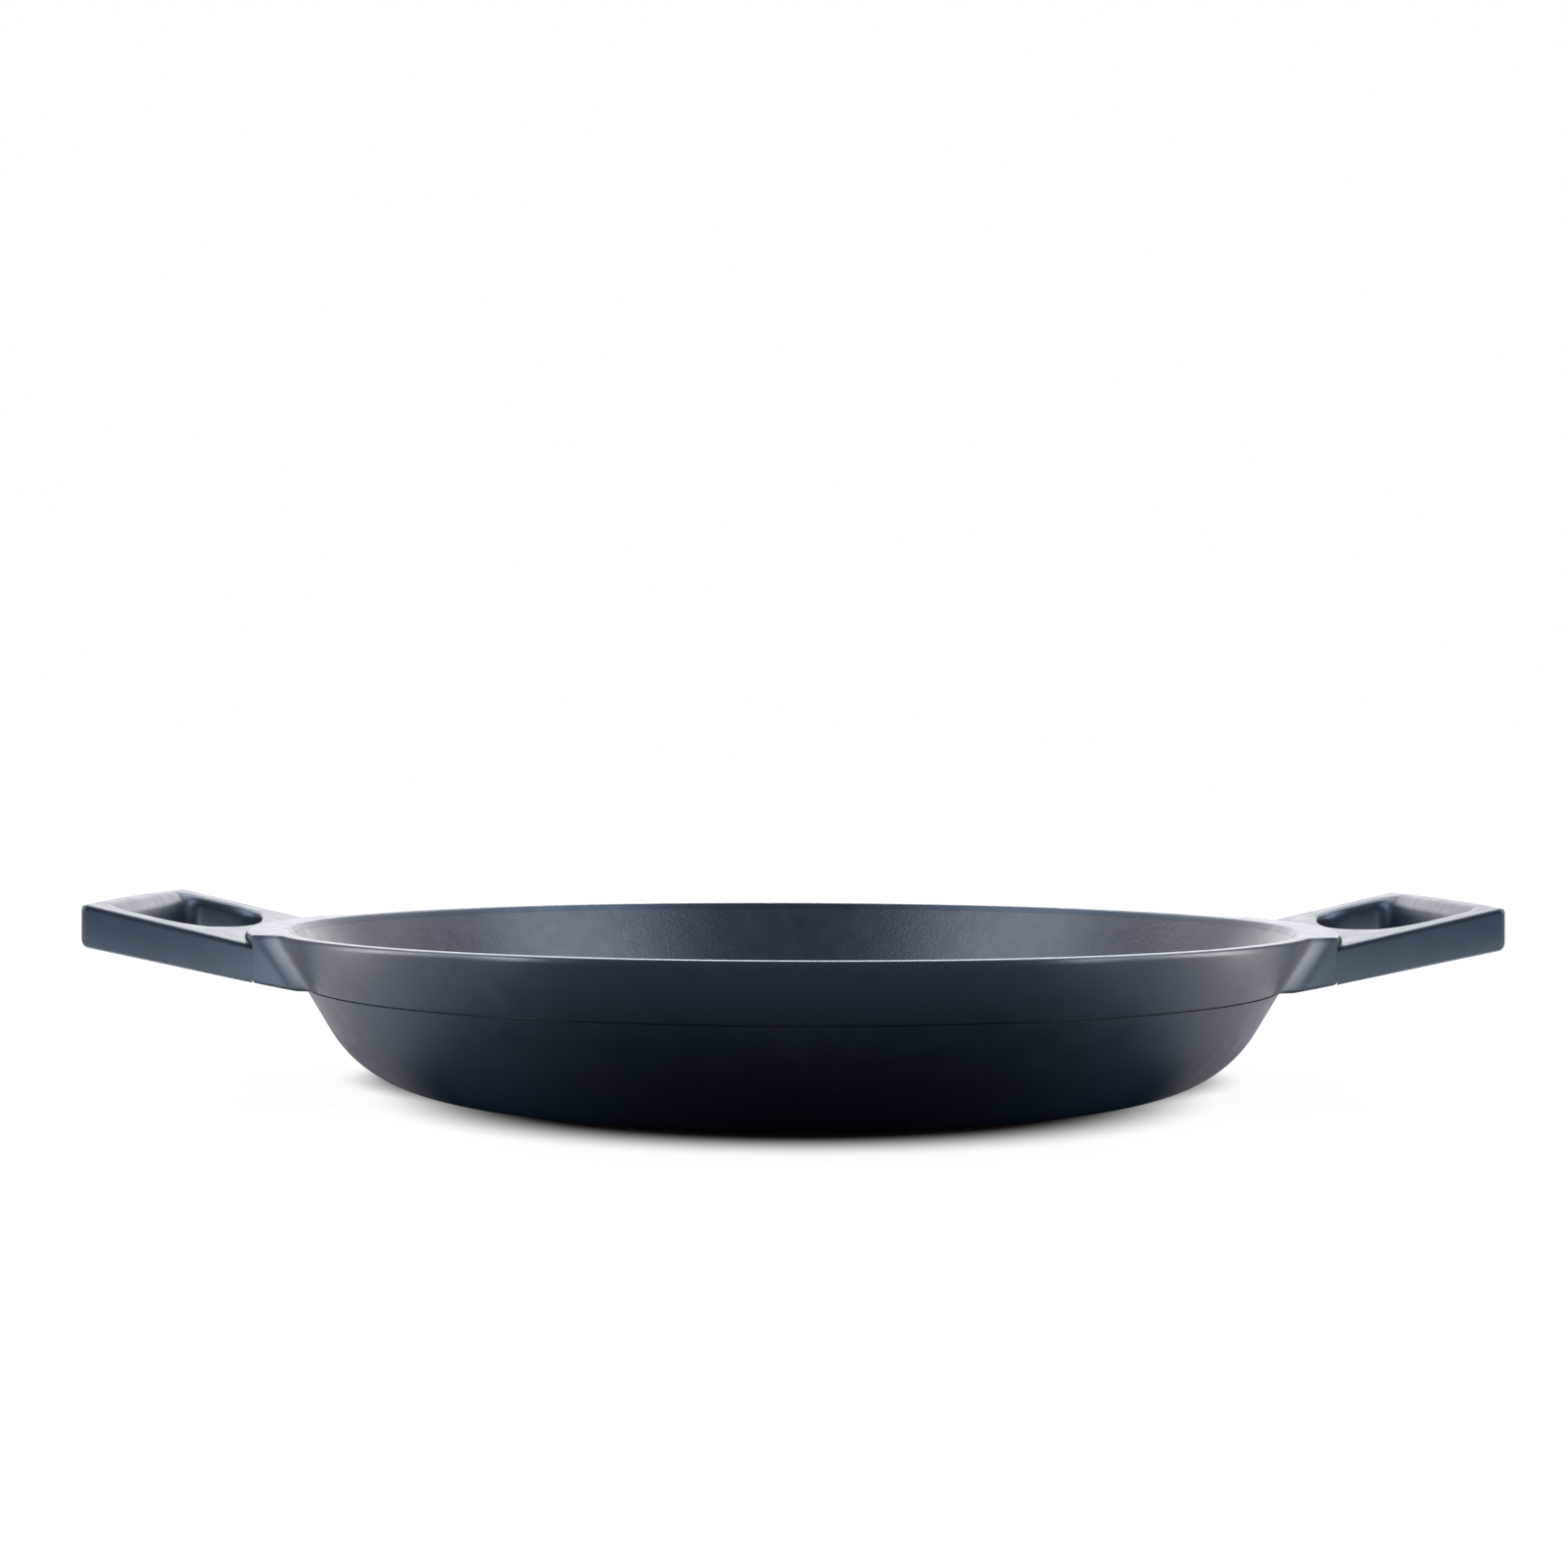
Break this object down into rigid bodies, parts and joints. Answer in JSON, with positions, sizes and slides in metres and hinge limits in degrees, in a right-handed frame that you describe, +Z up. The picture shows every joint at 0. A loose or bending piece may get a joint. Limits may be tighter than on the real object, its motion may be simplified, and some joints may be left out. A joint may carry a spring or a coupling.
{
  "type": "frying pan",
  "caption": "Low round frying pan with flared walls, a rounded rim and a tilted loop handle on each side, dark satin coating inside and out, on a flat steel-faced base.",
  "frame": {"origin": "on the hob, under the middle of the pan", "axes": "+X out through the right handle, +Y towards the back, +Z up"},
  "size_m": [0.4172, 0.321, 0.0587],
  "materials": {
    "body": "cast aluminium under a dark blue-grey satin coating",
    "handle": "cast aluminium under a dark blue-grey satin coating",
    "lining": "fine-grained dark grey non-stick film",
    "plate": "turned stainless steel",
    "screw": "plain stainless steel"
  },
  "bodies": {
    "root": {"pan_body": "body", "nonstick_lining": "lining", "induction_plate": "plate", "handle_right": "handle", "handle_left": "handle", "handle_screw_right_front": "screw", "handle_screw_right_rear": "screw", "handle_screw_left_front": "screw", "handle_screw_left_rear": "screw"}
  },
  "joints": []
}
